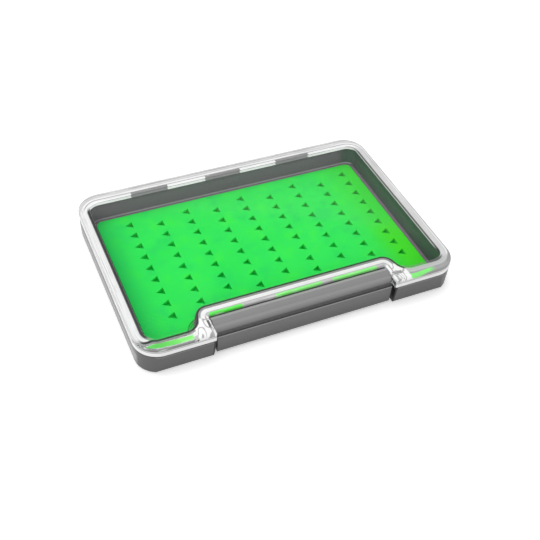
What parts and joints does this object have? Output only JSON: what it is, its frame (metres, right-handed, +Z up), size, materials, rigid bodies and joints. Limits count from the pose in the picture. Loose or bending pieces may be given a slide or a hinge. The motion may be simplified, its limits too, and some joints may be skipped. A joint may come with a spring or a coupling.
{
  "type": "fly box",
  "caption": "Slim waterproof fishing fly box with a slotted silicone insert, a clear hinged lid and a wide front latch.",
  "frame": {"origin": "middle of the case's outline without its hinge knuckles, on the plane of the flat bottom that it stands on", "axes": "+X towards the right end with the latch in front, +Y towards the hinge, +Z up out of the lid"},
  "size_m": [0.152, 0.1067, 0.015],
  "materials": {
    "grey_plastic": "fine matt moulded",
    "green_silicone": "matt silicone",
    "clear_silicone": "pale satin silicone",
    "steel": "drawn wire",
    "clear_plastic": "polished clear polycarbonate",
    "latch_plastic": "fine matt moulded"
  },
  "bodies": {
    "tray": {"base_tray": "grey_plastic", "insert_pad": "green_silicone", "seal_ring": "clear_silicone", "hinge_pin": "steel"},
    "lid": {"lid": "clear_plastic"},
    "latch": {"latch": "latch_plastic"}
  },
  "joints": [
    {"name": "lid_hinge", "type": "hinge", "parent": "tray", "child": "lid", "pos_m": [0, 0.0524, 0.0104], "axis": [-1, 0, 0], "range_deg": [0, 180]},
    {"name": "latch_hinge", "type": "hinge", "parent": "lid", "child": "latch", "pos_m": [0, -0.0437, 0.0123], "axis": [-1, 0, 0], "range_deg": [0, 110]}
  ]
}
